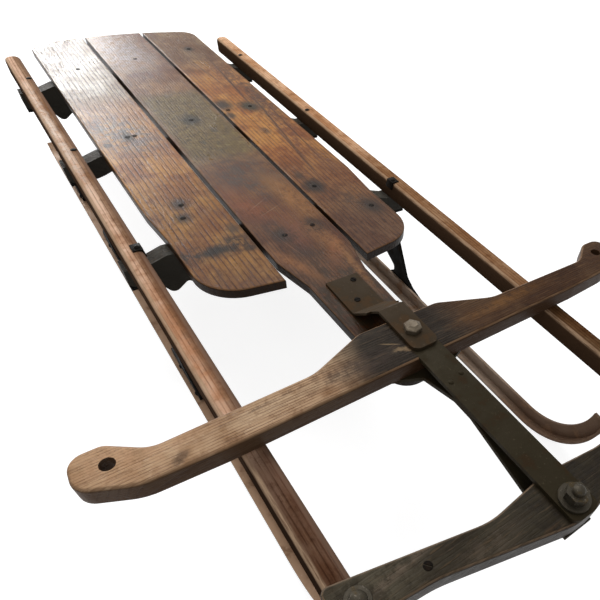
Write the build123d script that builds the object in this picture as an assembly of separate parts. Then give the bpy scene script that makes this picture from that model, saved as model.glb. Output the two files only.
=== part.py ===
from build123d import *
import os
from math import cos, radians, sin

# Steerable wooden runner sled. X points forward, Y to the rider's left, Z up.
# The origin is on the ground under the middle of the sled. Sizes are in millimetres.

# Overall places along the sled
deck_rear_x = -591.5
deck_front_x = 203.5
pivot_x = 362.5
tongue_reach = 210.0
end_bolt_setback = 30.0

# Heights above the ground
deck_top_z = 157.0
slat_thick = 11.0
rail_rise = 6.5
rail_height = 23.0
bar_lift = 5.0
bar_thick = 18.0

# Clearances
slide_gap = 0.3
pin_gap = 0.05
slot_gap = 0.1

# Deck slats
slat_gap = 4.8
centre_slat_width = 95.0
side_slat_width = 87.5
side_slat_narrowing = 5.5
side_slat_narrow_start = 186.5
side_slat_narrow_run = 66.0
side_slat_front_slant = 12.0
slat_front_corner_r = 50.0
slat_rear_bow = 19.0
slat_rear_corner_r = 28.0
slat_edge_r = 1.8
slat_bend_r = 60.0
neck_start_x = 171.0
neck_run = 54.0
neck_width = 72.0
neck_taper = 4.0
neck_front_reach = 30.0
neck_corner_r = 24.0

# Side rails
rail_centre_y = 175.0
rail_width = 22.0
rail_setback = 78.0
rail_front_reach = 16.0
rail_edge_r = 6.0
rail_nose_r = 9.0

# Benches: boards on edge across the sled, each with the same profile
bench_thick = 22.0
bench_inset_rear = 152.0
bench_inset_front = 137.0
bench_depth = 40.0
bench_lobe_depth = 51.0
bench_haunch_depth = 53.0
bench_overhang = 4.0
bench_end_depth = 23.0
bench_haunch_y = 145.5
bench_notch_y = 127.0
bench_lobe_y = 113.0
bench_corner_r = 4.0
bench_rows = [
    # place, share of the depth of its lobes, forward lean of its knees
    ("rear", 1.0, 58.0),
    ("middle", 0.5, 16.0),
    ("front", 1.0, 58.0),
]

# Runners: a flange on the ground with an upright web on it
runner_y = 166.0
runner_setback = 50.0
flange_width = 23.0
flange_thick = 3.5
web_thick = 4.0
web_height = 17.0
runner_tail_r = 90.0
runner_tail_turn = 24.0
runner_bend_x = 416.5
runner_bend_r = 100.0
runner_bend_turn = 85.0
runner_tip_r = 12.0
runner_tab_reach = 13.0

# Knees: iron legs from the bench ends down to the runner webs
knee_thick = 5.0
knee_waist = 24.0
knee_waist_rise = 10.0
knee_toe = 48.0
knee_heel = 20.0
knee_foot_height = 15.0
knee_corner_r = 8.0
knee_pad_thick = 4.0
knee_pad_width = 21.0

# Steering bar
bar_half_length = 295.0
arm_rear_reach = -1.0
arm_front_reach = 32.0
arm_sweep = 4.0
bar_heart_reach = 22.5
bar_heart_half = 46.0
bar_heart_run = 58.0
knob_length = 55.0
knob_bulge = 22.0
knob_tip_depth = 30.0
bar_edge_r = 3.0
rope_hole_r = 5.8
rope_hole_inset = 26.0
rope_hole_reach = 0.5

# Irons of the tongue, above and below the two bars
strap_thick = 4.0
strap_width = 29.0
strap_rear = 26.0
strap_front = 16.0
strap_slot_play = 3.2
strap_corner_r = 8.0
tee_width = 90.0
tee_front = 28.0
tee_taper = 13.0
pinch_rear = 84.0
pinch_length = 22.0
drop_setback = 28.0

# Plate that holds the pivot from above
plate_thick = 3.0
plate_length = 56.0
plate_wide = 39.0
plate_narrow = 29.0
plate_slope_run = 38.0
plate_shoulder = 49.0
plate_nose = 24.5
plate_corner_r = 8.0

# Bolts
pivot_r = 5.0
pivot_head_r = 9.0
pivot_head_height = 6.0
nut_r = 9.5
nut_height = 8.0
washer_r = 13.0
washer_thick = 2.0
spacer_r = 15.0
centre_r = 5.0
bolt_end = 3.0
end_bolt_inset = 2.5
end_r = 4.0
end_head_r = 8.5
end_head_height = 4.0

# Front bar, bowed forward and widest at its middle
front_overhang = 16.0
front_corner_rows = [
    # distance ahead of the end bolts, part of the half length, radius of the corner
    (-21.0, 1.0, 6.0),
    (7.0, 0.33, 70.0),
    (1.0, 0.05, 30.0),
    (45.5, 0.06, 60.0),
    (19.0, 0.63, 120.0),
    (13.0, 1.0, 9.0),
]
front_edge_r = 2.5

# Levels, places and widths that follow from the sizes above
slat_bottom_z = deck_top_z - slat_thick
rail_top_z = deck_top_z + rail_rise
rail_bottom_z = rail_top_z - rail_height
bar_bottom_z = rail_top_z + bar_lift
bar_top_z = bar_bottom_z + bar_thick
strap_bottom_z = bar_top_z - strap_thick
plate_top_z = bar_top_z + slide_gap + plate_thick
front_bottom_z = rail_top_z
front_top_z = strap_bottom_z - slide_gap
lower_rear_z = bar_bottom_z - strap_thick
lower_front_z = front_bottom_z - slide_gap - strap_thick
pinch_z = strap_bottom_z - strap_thick
web_top_z = flange_thick + web_height
centre_bolt_x = pivot_x + tongue_reach
end_bolt_x = centre_bolt_x - end_bolt_setback
end_bolt_y = rail_centre_y - end_bolt_inset
front_half_length = rail_centre_y + front_overhang
side_slat_inner_y = centre_slat_width / 2 + slat_gap
side_slat_outer_y = side_slat_inner_y + side_slat_width
bench_end_y = rail_centre_y + rail_width / 2 + bench_overhang
bench_end_z = rail_bottom_z - bench_end_depth
bench_rear_x = deck_rear_x + bench_inset_rear
bench_front_x = deck_front_x - bench_inset_front
bench_places = [bench_rear_x, (bench_rear_x + bench_front_x) / 2, bench_front_x]


def save(shape, name):
    """Write one piece to its own file."""
    export_step(shape, f"parts/{name}.step")


def flat_face(points):
    """A face in the ground plane from its corner points."""
    return make_face(Polyline(*points, close=True))


def near(shape, x, y, reach=0.6):
    """The vertices of a flat face that lie at one corner."""
    return [v for v in shape.vertices() if abs(v.X - x) < reach and abs(v.Y - y) < reach]


def mirrored(shape):
    """The same piece on the other side of the sled."""
    return mirror(shape, about=Plane.XZ)


def rod(x, y, z, radius, height):
    """An upright round rod from the height z upward."""
    return Pos(x, y, z) * extrude(Circle(radius), height)


def hexagon(x, y, z, radius, height):
    """An upright six-sided head or nut."""
    return Pos(x, y, z) * extrude(RegularPolygon(radius, 6), height)


def soften(shape, radius, top_z):
    """Round the outer edges of the top face."""
    edges = shape.faces().sort_by(Axis.Z)[-1].outer_wire().edges()
    assert abs(edges[0].center().Z - top_z) < 1.0
    return fillet(edges, radius)


# Deck slats


def side_slat():
    """The outer slat on the rider's left, with a narrowed and rounded front."""
    front_outer_y = side_slat_outer_y - side_slat_narrowing
    narrow_x = deck_front_x - side_slat_narrow_start
    points = [
        (deck_rear_x, 0),
        (deck_front_x, 0),
        (deck_front_x, side_slat_inner_y),
        (deck_front_x - side_slat_front_slant, front_outer_y),
        (narrow_x + side_slat_narrow_run, front_outer_y),
        (narrow_x, side_slat_outer_y),
        (deck_rear_x, side_slat_outer_y),
    ]
    face = flat_face(points)
    face = fillet(near(face, *points[3]), slat_front_corner_r)
    face = fillet(near(face, *points[4]) + near(face, *points[5]), slat_bend_r)
    face = face & rear_bow()
    outer_corner = face.vertices().sort_by(Axis.Y)[-2:].sort_by(Axis.X)[0]
    face = fillet(outer_corner, slat_rear_corner_r)
    length = deck_front_x - deck_rear_x
    inner = Pos(0, side_slat_inner_y - side_slat_outer_y) * Rectangle(4 * length, 2 * side_slat_outer_y)
    slab = Pos(0, 0, slat_bottom_z) * extrude(face - inner, slat_thick)
    return soften(slab, slat_edge_r, deck_top_z)


def rear_bow():
    """A round outline whose rear edge is the deck's bowed rear edge."""
    bow_r = (side_slat_outer_y**2 + slat_rear_bow**2) / (2 * slat_rear_bow)
    return Pos(deck_rear_x + bow_r) * Circle(bow_r) + Pos(deck_front_x) * Rectangle(-2 * deck_rear_x, bow_r)


def centre_slat():
    """The middle slat, which narrows to a neck and carries the pivot."""
    half = centre_slat_width / 2
    neck = neck_width / 2
    neck_end_x = neck_start_x + neck_run
    front_x = pivot_x + neck_front_reach
    side = [
        (deck_rear_x, half),
        (neck_start_x, half),
        (neck_end_x, neck),
        (front_x, neck - neck_taper),
    ]
    points = side + [(x, -y) for x, y in reversed(side)]
    face = flat_face(points)
    for y_side in (1, -1):
        face = fillet(near(face, front_x, y_side * (neck - neck_taper)), neck_corner_r)
        bends = near(face, neck_start_x, y_side * half) + near(face, neck_end_x, y_side * neck)
        face = fillet(bends, neck_corner_r)
    slab = Pos(0, 0, slat_bottom_z) * extrude(face & rear_bow(), slat_thick)
    slab = soften(slab, slat_edge_r, deck_top_z)
    return slab - rod(pivot_x, 0, slat_bottom_z, pivot_r, slat_thick)


# Rails


def rail():
    """The side rail on the rider's left, with rounded edges and a rounded rear end."""
    rear_x = deck_rear_x + rail_setback
    length = end_bolt_x + rail_front_reach - rear_x
    middle = rear_x + length / 2
    bar = Pos(middle, rail_centre_y, (rail_bottom_z + rail_top_z) / 2) * Box(length, rail_width, rail_height)
    bar = fillet(bar.faces().sort_by(Axis.X)[0].edges().filter_by(Axis.Z), rail_nose_r)
    top_edges = bar.faces().sort_by(Axis.Z)[-1].edges() - bar.faces().sort_by(Axis.X)[-1].edges()
    bar = fillet(top_edges, rail_edge_r)
    return bar - rod(end_bolt_x, end_bolt_y, rail_bottom_z, end_r + pin_gap, rail_height)


# Benches


def bench(share):
    """A cross board on edge: a flat top under the slats, seats for the rails, a scrolled lower edge."""
    arch_z = slat_bottom_z - bench_depth * share
    lobe_z = slat_bottom_z - bench_lobe_depth * share
    haunch_depth = bench_haunch_depth * share
    seat_y = rail_centre_y - rail_width / 2
    step_y = side_slat_outer_y + (seat_y - side_slat_outer_y) * 0.1
    side = [
        (step_y, slat_bottom_z, 0),
        (seat_y - 4, rail_bottom_z, bench_corner_r),
        (bench_end_y, rail_bottom_z, 0),
        (bench_end_y, bench_end_z, 2 * bench_corner_r),
        (bench_haunch_y + haunch_depth / 3, bench_end_z, 2 * bench_corner_r),
        (bench_haunch_y, slat_bottom_z - haunch_depth, 2 * bench_corner_r),
        (bench_notch_y, arch_z, bench_corner_r),
        (bench_lobe_y, lobe_z, 2 * bench_corner_r),
        (bench_lobe_y - 2 * bench_corner_r, lobe_z, bench_corner_r),
        (bench_lobe_y * 0.7, arch_z, 2 * bench_corner_r),
    ]
    corners = [(y, z) for y, z, radius in side]
    face = flat_face(corners + [(-y, z) for y, z in reversed(corners)])
    for y, z, radius in side:
        if radius:
            face = fillet(near(face, y, z) + near(face, -y, z), radius)
    return Plane.YZ * extrude(face, bench_thick)


# Runners


def runner_path(lift, tip):
    """The runner's side line, raised by lift from the ground, with its upturned ends."""
    rear_x = deck_rear_x + runner_setback
    tail = radians(runner_tail_turn)
    bend = radians(runner_bend_turn)
    tail_r = runner_tail_r - lift
    bend_r = runner_bend_r - lift
    tail_centre = Vector(rear_x + runner_tail_r * sin(tail), runner_tail_r)
    bend_centre = Vector(runner_bend_x, runner_bend_r)
    tail_end = tail_centre + Vector(-tail_r * sin(tail), -tail_r * cos(tail))
    tail_mid = tail_centre + Vector(-tail_r * sin(tail / 2), -tail_r * cos(tail / 2))
    bend_end = bend_centre + Vector(bend_r * sin(bend), -bend_r * cos(bend))
    bend_mid = bend_centre + Vector(bend_r * sin(bend / 2), -bend_r * cos(bend / 2))
    line = [
        ThreePointArc(tail_end, tail_mid, Vector(tail_centre.X, lift)),
        Line(Vector(tail_centre.X, lift), Vector(runner_bend_x, lift)),
        ThreePointArc(Vector(runner_bend_x, lift), bend_mid, bend_end),
    ]
    if tip:
        tab_z = rail_bottom_z - flange_thick + lift
        tip_r = runner_tip_r + lift
        turn_z = tab_z - tip_r * (1 - cos(bend))
        rise = (turn_z - bend_end.Y) / sin(bend)
        turn_start = bend_end + Vector(rise * cos(bend), rise * sin(bend))
        tip_centre = turn_start + Vector(tip_r * sin(bend), -tip_r * cos(bend))
        turn_mid = tip_centre + Vector(-tip_r * sin(bend / 2), tip_r * cos(bend / 2))
        turn_end = tip_centre + Vector(0, tip_r)
        line += [
            Line(bend_end, turn_start),
            ThreePointArc(turn_start, turn_mid, turn_end),
            Line(turn_end, Vector(end_bolt_x + runner_tab_reach, turn_end.Y)),
        ]
    return line


def strip_face(lower, upper):
    """A face between two side lines that start and end beside each other."""
    first = Line(lower[0] @ 0, upper[0] @ 0)
    last = Line(lower[-1] @ 1, upper[-1] @ 1)
    return make_face([first, last] + lower + upper)


def runner():
    """The runner on the rider's left: flange, web and the tab under the rail."""
    flange_side = strip_face(runner_path(0, True), runner_path(flange_thick, True))
    web_side = strip_face(runner_path(flange_thick, False), runner_path(web_top_z, False))
    flange = Plane.XZ * extrude(flange_side, flange_width / 2, both=True)
    web = Plane.XZ * extrude(web_side, web_thick / 2, both=True)
    shape = Pos(0, runner_y, 0) * (flange + web)
    hole = rod(end_bolt_x, end_bolt_y, rail_bottom_z - 2 * flange_thick, end_r + pin_gap, 3 * flange_thick)
    return shape - hole


# Knees


def knee(bench_x, lean):
    """An iron leg on the rider's left that leans forward from the bench end to the runner web."""
    foot_x = bench_x + lean
    toe_x = foot_x + knee_waist / 2 + knee_toe
    heel_x = foot_x - knee_waist / 2 - knee_heel
    foot_bottom_z = web_top_z - knee_foot_height
    waist_z = web_top_z + knee_waist_rise
    toe_top_z = foot_bottom_z + knee_foot_height / 3
    shin_z = (bench_end_z + waist_z) / 2
    front_lean = (foot_x + knee_waist / 2 - bench_x - bench_thick) / 2
    points = [
        (bench_x, bench_end_z),
        (bench_x + bench_thick, bench_end_z),
        (bench_x + bench_thick + front_lean, shin_z),
        (foot_x + knee_waist / 2, waist_z),
        (foot_x + knee_waist / 2 + knee_foot_height, web_top_z),
        (toe_x, toe_top_z),
        (toe_x, foot_bottom_z),
        (heel_x, foot_bottom_z),
        (heel_x, web_top_z - knee_foot_height / 3),
        (foot_x - knee_waist / 2, waist_z),
        (bench_x, waist_z + (shin_z - waist_z) * 0.6),
    ]
    face = flat_face(points)
    for index in (3, 4, 9, 10):
        face = fillet(near(face, *points[index]), knee_corner_r)
    side_y = runner_y + web_thick / 2 + knee_thick / 2
    leg = Pos(0, side_y, 0) * (Plane.XZ * extrude(face, knee_thick / 2, both=True))
    pad_z = bench_end_z - knee_pad_thick / 2
    pad_y = runner_y + web_thick / 2 + knee_pad_width / 2
    pad = Pos(bench_x + bench_thick / 2, pad_y, pad_z) * Box(bench_thick, knee_pad_width, knee_pad_thick)
    return leg + pad


# Steering bar and tongue


def bar_outline():
    """The steering bar seen from above: a wide heart, slim arms and a knob at each end."""
    rear_x = pivot_x + arm_rear_reach
    front_x = pivot_x + arm_front_reach
    heart_x = rear_x - bar_heart_reach
    knob_x = rear_x + arm_sweep - knob_bulge
    tip_y = bar_half_length
    neck_y = tip_y - knob_length
    side = [
        # x, y and radius of each corner from the heart along the rear edge to the front edge
        (heart_x, bar_heart_half, 22),
        (rear_x, bar_heart_half + bar_heart_run, 45),
        (rear_x + arm_sweep / 2, neck_y, 26),
        (knob_x, tip_y - knob_length / 2, 12),
        (knob_x, tip_y - 2, 13),
        (knob_x + knob_tip_depth, tip_y, 16),
        (front_x + arm_sweep - knob_length / 8, tip_y - knob_length * 0.7, 50),
        (front_x, tip_y - knob_length * 1.8, 90),
    ]
    corners = [(x, y) for x, y, radius in side]
    face = flat_face(corners + [(x, -y) for x, y in reversed(corners)])
    for x, y, radius in side:
        face = fillet(near(face, x, y) + near(face, x, -y), radius)
    return face


def steering_bar():
    """The wooden bar that the rider's feet or hands push."""
    bar = Pos(0, 0, bar_bottom_z) * extrude(bar_outline(), bar_thick)
    bar = soften(bar, bar_edge_r, bar_top_z)
    recess_length = strap_rear + 2 * arm_front_reach
    recess_x = pivot_x - strap_rear + recess_length / 2
    cut = Pos(recess_x, 0, bar_top_z - strap_thick / 2) * Box(recess_length, strap_width, strap_thick)
    holes = rod(pivot_x, 0, bar_bottom_z, pivot_r + pin_gap, bar_thick)
    for side in (1, -1):
        hole_y = side * (bar_half_length - rope_hole_inset)
        holes += rod(pivot_x + rope_hole_reach, hole_y, bar_bottom_z, rope_hole_r, bar_thick)
    return bar - cut - holes


def strap_slot(z):
    """The front hole of a strap, longer along the sled so that the bolt can shift in it."""
    slot = SlotCenterToCenter(2 * strap_slot_play, 2 * (centre_r + slot_gap))
    return Pos(centre_bolt_x, 0, z) * extrude(slot, 2 * strap_thick)


def tongue_upper():
    """The flat iron that lies level from the pivot to the front bar."""
    rear_x = pivot_x - strap_rear
    length = strap_rear + tongue_reach + strap_front
    face = Pos(rear_x + length / 2) * RectangleRounded(length, strap_width, strap_corner_r)
    strap = Pos(0, 0, strap_bottom_z) * extrude(face, strap_thick)
    strap -= rod(pivot_x, 0, strap_bottom_z, pivot_r + pin_gap, strap_thick)
    return strap - strap_slot(strap_bottom_z - strap_thick / 2)


def tongue_lower():
    """The cranked iron under both bars, pinched up to the flat iron between them."""
    rear_x = pivot_x - strap_rear
    tee_end_x = pivot_x + tee_front
    taper_end_x = tee_end_x + tee_taper
    pinch_x = pivot_x + pinch_rear
    drop_end_x = centre_bolt_x - drop_setback
    front_x = centre_bolt_x + strap_front
    line = [
        (rear_x, lower_rear_z),
        (taper_end_x, lower_rear_z),
        (pinch_x, pinch_z),
        (pinch_x + pinch_length, pinch_z),
        (drop_end_x, lower_front_z),
        (front_x, lower_front_z),
    ]
    points = line + [(x, z + strap_thick) for x, z in reversed(line)]
    strap = Plane.XZ * extrude(flat_face(points), strap_width / 2, both=True)
    tee_side = [(rear_x, tee_width / 2), (tee_end_x, tee_width / 2), (taper_end_x, strap_width / 2)]
    tee_face = flat_face(tee_side + [(x, -y) for x, y in reversed(tee_side)])
    tee_corners = near(tee_face, rear_x, tee_width / 2) + near(tee_face, rear_x, -tee_width / 2)
    tee = Pos(0, 0, lower_rear_z) * extrude(fillet(tee_corners, strap_corner_r), strap_thick)
    shape = strap + tee
    shape -= rod(pivot_x, 0, lower_rear_z, pivot_r + pin_gap, strap_thick)
    return shape - strap_slot(lower_front_z - strap_thick / 2)


# Pivot plate and its bolt


def pivot_plate():
    """The iron plate screwed to the centre slat that steps up over the steering bar."""
    high_z = bar_top_z + slide_gap
    nose_x = pivot_x + plate_nose
    shoulder_x = pivot_x - plate_shoulder
    slope_end_x = shoulder_x + plate_slope_run / 3
    slope_x = slope_end_x - plate_slope_run
    rear_x = slope_x - plate_length
    line = [(rear_x, deck_top_z), (slope_x, deck_top_z), (slope_end_x, high_z), (nose_x, high_z)]
    points = line + [(x, z + plate_thick) for x, z in reversed(line)]
    shape = Plane.XZ * extrude(flat_face(points), plate_wide / 2, both=True)
    keep_side = [
        (rear_x, plate_wide / 2),
        (shoulder_x, plate_wide / 2),
        (shoulder_x, plate_narrow / 2),
        (nose_x, plate_narrow / 2),
    ]
    keep = flat_face(keep_side + [(x, -y) for x, y in reversed(keep_side)])
    nose_corners = near(keep, nose_x, plate_narrow / 2) + near(keep, nose_x, -plate_narrow / 2)
    keep = extrude(fillet(nose_corners, plate_corner_r), 2 * bar_top_z)
    return (shape & keep) - rod(pivot_x, 0, high_z, pivot_r, plate_thick)


def pivot_bolt():
    """The bolt that the steering turns on."""
    bottom_z = slat_bottom_z - nut_height
    shank = rod(pivot_x, 0, bottom_z, pivot_r, plate_top_z + pivot_head_height - bottom_z)
    return shank + hexagon(pivot_x, 0, plate_top_z, pivot_head_r, pivot_head_height)


def pivot_nut():
    """The nut under the centre slat."""
    nut = hexagon(pivot_x, 0, slat_bottom_z - nut_height, nut_r, nut_height)
    return nut - rod(pivot_x, 0, slat_bottom_z - nut_height, pivot_r, nut_height)


def pivot_spacer():
    """The ring between the centre slat and the lower iron."""
    height = lower_rear_z - slide_gap - deck_top_z
    return rod(pivot_x, 0, deck_top_z, spacer_r, height) - rod(pivot_x, 0, deck_top_z, pivot_r, height)


# Front bar and its bolts


def front_bar():
    """The bowed bar across the rails' front ends."""
    side = [(end_bolt_x + x, part * front_half_length, radius) for x, part, radius in front_corner_rows]
    left = [(x, y) for x, y, radius in side]
    rear_left = left[:3]
    front_left = left[3:]
    points = front_left + rear_left + [(x, -y) for x, y in reversed(rear_left)]
    points += [(x, -y) for x, y in reversed(front_left)]
    face = flat_face(points)
    for x, y, radius in side:
        face = fillet(near(face, x, y) + near(face, x, -y), radius)
    height = front_top_z - front_bottom_z
    bar = Pos(0, 0, front_bottom_z) * extrude(face, height)
    bar = soften(bar, front_edge_r, front_top_z)
    holes = rod(centre_bolt_x, 0, front_bottom_z, centre_r, height)
    for y_side in (1, -1):
        holes += rod(end_bolt_x, y_side * end_bolt_y, front_bottom_z, end_r, height)
    return bar - holes


def centre_bolt():
    """The bolt that links the tongue to the front bar, with its head below."""
    head_z = lower_front_z - slide_gap - end_head_height
    top_z = bar_top_z + slide_gap + washer_thick + nut_height + bolt_end
    shank = rod(centre_bolt_x, 0, head_z, centre_r, top_z - head_z)
    return shank + rod(centre_bolt_x, 0, head_z, end_head_r, end_head_height)


def centre_washer():
    """The broad washer on the flat iron."""
    z = bar_top_z + slide_gap
    return rod(centre_bolt_x, 0, z, washer_r, washer_thick) - rod(centre_bolt_x, 0, z, centre_r, washer_thick)


def centre_nut():
    """The nut over the broad washer."""
    z = bar_top_z + slide_gap + washer_thick
    return hexagon(centre_bolt_x, 0, z, nut_r, nut_height) - rod(centre_bolt_x, 0, z, centre_r, nut_height)


def end_bolt():
    """The bolt through the front bar, the rail and the runner's tab on the rider's left."""
    bottom_z = rail_bottom_z - flange_thick - end_head_height
    shank = rod(end_bolt_x, end_bolt_y, bottom_z, end_r, front_top_z - bottom_z)
    head = rod(end_bolt_x, end_bolt_y, front_top_z, end_head_r, end_head_height)
    foot = rod(end_bolt_x, end_bolt_y, bottom_z, end_head_r, end_head_height)
    return shank + head + foot


os.makedirs("parts", exist_ok=True)
pairs = [("slat", side_slat()), ("rail", rail()), ("runner", runner()), ("end_bolt", end_bolt())]
for bench_x, (place, share, lean) in zip(bench_places, bench_rows):
    save(Pos(bench_x) * bench(share), "bench_" + place)
    pairs.append(("knee_" + place, knee(bench_x, lean)))
for pair_name, shape in pairs:
    save(shape, pair_name + "_left")
    save(mirrored(shape), pair_name + "_right")

save(centre_slat(), "slat_centre")
save(steering_bar(), "steering_bar")
save(tongue_upper(), "tongue_upper")
save(tongue_lower(), "tongue_lower")
save(pivot_plate(), "pivot_plate")
save(pivot_bolt(), "pivot_bolt")
save(pivot_nut(), "pivot_nut")
save(pivot_spacer(), "pivot_spacer")
save(front_bar(), "front_bar")
save(centre_bolt(), "centre_bolt")
save(centre_washer(), "centre_washer")
save(centre_nut(), "centre_nut")
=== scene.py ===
import math

import bmesh
import bpy
from mathutils import Matrix, Vector


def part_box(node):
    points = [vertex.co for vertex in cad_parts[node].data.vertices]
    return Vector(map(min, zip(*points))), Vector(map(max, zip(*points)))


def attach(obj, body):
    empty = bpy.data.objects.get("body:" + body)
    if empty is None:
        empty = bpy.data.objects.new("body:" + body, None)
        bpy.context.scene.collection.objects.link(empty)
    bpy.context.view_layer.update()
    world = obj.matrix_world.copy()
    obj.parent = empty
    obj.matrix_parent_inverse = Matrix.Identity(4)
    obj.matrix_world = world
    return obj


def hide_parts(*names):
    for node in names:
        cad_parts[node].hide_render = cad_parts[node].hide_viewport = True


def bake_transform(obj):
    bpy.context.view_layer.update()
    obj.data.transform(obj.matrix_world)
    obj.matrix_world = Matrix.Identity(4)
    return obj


# An old steerable runner sled of ash boards and blacked iron. Lengths are in metres.

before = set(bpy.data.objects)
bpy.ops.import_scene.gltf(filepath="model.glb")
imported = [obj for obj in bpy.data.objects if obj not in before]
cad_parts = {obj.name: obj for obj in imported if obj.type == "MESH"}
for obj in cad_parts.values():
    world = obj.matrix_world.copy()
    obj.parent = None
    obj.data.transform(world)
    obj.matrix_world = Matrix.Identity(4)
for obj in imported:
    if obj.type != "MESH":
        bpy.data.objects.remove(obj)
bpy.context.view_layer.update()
MM = 0.001


def middle(node):
    """The middle of a CAD node's box."""
    low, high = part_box(node)
    return (Vector(low) + Vector(high)) / 2


def span(node, axis):
    """The two ends of a CAD node along one axis."""
    low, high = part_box(node)
    return low[axis], high[axis]


# Places and levels read from the frame
deck_top = span("slat_left", 2)[1]
rail_low, rail_top = span("rail_left", 2)
rail_y = middle("rail_left").y
bar_top = span("steering_bar", 2)[1]
plate_top = span("pivot_plate", 2)[1]
front_top = span("front_bar", 2)[1]
pivot_x = middle("pivot_bolt").x
bolt_x = middle("centre_bolt").x
end_x = middle("end_bolt_left").x
end_y = middle("end_bolt_left").y
bench_names = ("rear", "middle", "front")
bench_x = {name: middle("bench_" + name).x for name in bench_names}


# Shader helpers


def paint(hex_colour):
    """An sRGB hex colour as linear RGBA."""
    parts = [int(hex_colour[i : i + 2], 16) / 255 for i in (0, 2, 4)]
    return [p / 12.92 if p <= 0.04045 else ((p + 0.055) / 1.055) ** 2.4 for p in parts] + [1.0]


def wire(tree, node, links):
    """Link a node's inputs to sockets, or set them to values."""
    for key, value in links.items():
        if isinstance(value, bpy.types.NodeSocket):
            tree.links.new(value, node.inputs[key])
        else:
            node.inputs[key].default_value = value


def add(tree, kind, links=None, **settings):
    """Add one shader node with its settings and its links or socket values."""
    made = tree.nodes.new("ShaderNode" + kind)
    for key, value in settings.items():
        setattr(made, key, value)
    wire(tree, made, links or {})
    return made


def new_surface(name):
    """A new material, its node tree and its shader."""
    material = bpy.data.materials.new(name)
    material.use_nodes = True
    shader = material.node_tree.nodes["Principled BSDF"]
    return material, material.node_tree, shader


def overlay(tree, mask, below, above, blend="MIX"):
    """Lay one colour over another where the mask is white."""
    mixed = add(tree, "Mix", {0: mask, 6: below, 7: above}, data_type="RGBA", blend_type=blend)
    return mixed.outputs[2]


def mask_between(tree, value, start, end, low=0.0, high=1.0):
    """A soft mask that goes from low to high while the value goes from start to end."""
    links = {"Value": value, "From Min": start, "From Max": end, "To Min": low, "To Max": high}
    return add(tree, "MapRange", links, interpolation_type="SMOOTHSTEP").outputs[0]


def times(tree, first, second):
    """The product of two values."""
    return add(tree, "Math", {0: first, 1: second}, operation="MULTIPLY").outputs[0]


THROUGH = 1e6  # a stain is this deep, so that it goes right through any board


def spot(tree, place, x, y, long, wide, turn=0.0, soft=0.5, square=False):
    """A mask for an oval or a square stain at x, y with its half length and half width."""
    links = {"Vector": place, "Location": (x, y, 0), "Rotation": (0, 0, math.radians(turn))}
    links["Scale"] = (long, wide, THROUGH)
    local = add(tree, "Mapping", links, vector_type="TEXTURE").outputs[0]
    if square:
        positive = add(tree, "VectorMath", {0: local}, operation="ABSOLUTE").outputs[0]
        off = add(tree, "SeparateXYZ", {0: positive}).outputs
        far = add(tree, "Math", {0: off["X"], 1: off["Y"]}, operation="MAXIMUM").outputs[0]
    else:
        far = add(tree, "VectorMath", {0: local}, operation="LENGTH").outputs["Value"]
    return mask_between(tree, far, 1 + soft, 1 - soft)


def pushed(tree, place, noise, reach):
    """The place pushed about by a noise, so that an edge drawn from it is uneven."""
    centred = add(tree, "VectorMath", {0: noise, 1: (0.5, 0.5, 0.5)}, operation="SUBTRACT").outputs[0]
    push = {0: centred, 1: (reach, reach, 0), 2: place}
    return add(tree, "VectorMath", push, operation="MULTIPLY_ADD").outputs[0]


# Wood: ash, a ring-porous timber, so thin dark lines of pores part the pale bands of late wood

PORE_LENGTH = 12 * MM
PORE_WIDTH = 0.9 * MM  # the real pores are about 0.3 mm wide and would not show, so they are drawn coarser
PORE_DEPTH = 0.4 * MM
DRIFT_SIZE = 33 * MM
DRIFT_REACH = 1.3  # how far a year's line strays, in ring widths
LINE_STRETCH = 16  # the log is drawn this many times longer than it is, so that the lines run on
PLANE_MARK = 6 * MM
GRIME_SIZE = 9 * MM
WEAR_SIZE = 1 / 14  # patches of wear are about 71 mm across
LARGE_STAIN = 20 * MM
STAIN_STRAY = 12 * MM
THIN_MARK = 2 * MM  # a narrower mark is a line or a scratch, and keeps nearly straight
THIN_STRAY = 2 * MM
SPECK_SIZE = 8 * MM
FRAY_SIZE = 16 * MM


def ash_grain(tree, board, fibre, ring_width, heart, lean):
    """The dark line that ends each year, the single pores, and the noise that both come from."""
    drift = {"Vector": fibre, "Scale": 1 / DRIFT_SIZE, "Detail": 2.0}
    drift = add(tree, "TexNoise", drift).outputs["Color"]
    stray = DRIFT_REACH * ring_width
    wander = {0: drift, 1: (0, stray, stray), 2: board}
    drifted = add(tree, "VectorMath", wander, operation="MULTIPLY_ADD").outputs[0]
    log = {"Vector": drifted, "Location": heart, "Rotation": (0, math.radians(lean), 0)}
    log["Scale"] = (LINE_STRETCH, 1, 1)
    trunk = add(tree, "Mapping", log, vector_type="TEXTURE").outputs[0]
    # At a scale of 1 the wave draws a ring every pi / 10 metres
    year = {"Vector": trunk, "Scale": math.pi / 10 / ring_width}
    year |= {"Distortion": 1.1, "Detail": 2.0, "Detail Scale": 0.8}
    rings = add(tree, "TexWave", year, wave_type="RINGS", rings_direction="X", wave_profile="SAW")
    rings = rings.outputs["Fac"]
    band = times(tree, mask_between(tree, rings, 0.55, 0.90), mask_between(tree, rings, 1.0, 0.95))
    vessels = {"Vector": fibre, "Scale": 0.5 / PORE_WIDTH, "Detail": 3.0, "Roughness": 0.65}
    pores = add(tree, "TexNoise", vessels).outputs["Fac"]
    pore = mask_between(tree, pores, 0.50, 0.66)
    line = times(tree, band, mask_between(tree, pores, 0.36, 0.56, 0.45, 1.0))
    return line, pore, pores


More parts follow.
